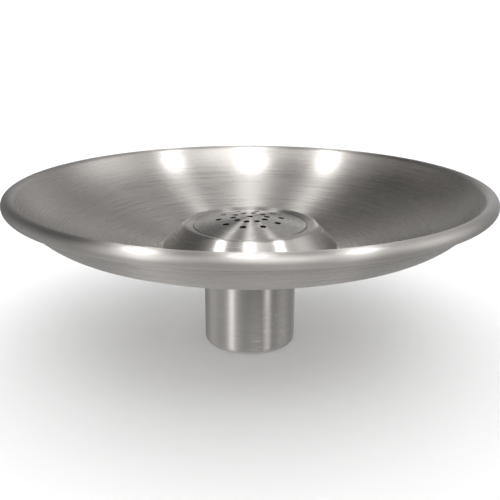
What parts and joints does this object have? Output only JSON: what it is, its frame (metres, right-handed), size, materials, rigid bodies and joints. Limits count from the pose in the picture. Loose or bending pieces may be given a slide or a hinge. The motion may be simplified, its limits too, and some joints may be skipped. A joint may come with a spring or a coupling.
{
  "type": "emergency shower head",
  "caption": "Spun steel drench shower head: wide shallow dish with a rolled rim, a perforated conical diffuser in its centre and a threaded inlet socket below.",
  "frame": {"origin": "centre of the inlet socket's end face, which is the lowest face of the part", "axes": "+Z along the axis the water takes, from the inlet to the spray face; X and Y are in the plane of the rim. In use the head hangs the other way up, with +Z pointing at the floor"},
  "size_m": [0.25, 0.25, 0.0879],
  "materials": {
    "spun_steel": "satin, lathe brushed",
    "diffuser_steel": "satin, lathe brushed",
    "face_steel": "satin, lathe brushed",
    "turned_steel": "satin, turned",
    "weld_steel": "dull, as welded",
    "rib_steel": "mill finish",
    "spring_steel": "mill finish",
    "regulator_brass": "turned",
    "black_rubber": "matt"
  },
  "bodies": {
    "root": {"spray_dish": "spun_steel", "inlet_socket": "turned_steel", "socket_weld": "weld_steel", "diffuser_cone": "diffuser_steel", "rose_face": "face_steel", "face_weld": "weld_steel", "diffuser_rib_1": "rib_steel", "diffuser_rib_2": "rib_steel", "diffuser_rib_3": "rib_steel", "regulator_body": "regulator_brass", "retaining_ring": "spring_steel", "flow_ring": "black_rubber", "seal_ring": "black_rubber"}
  },
  "joints": []
}
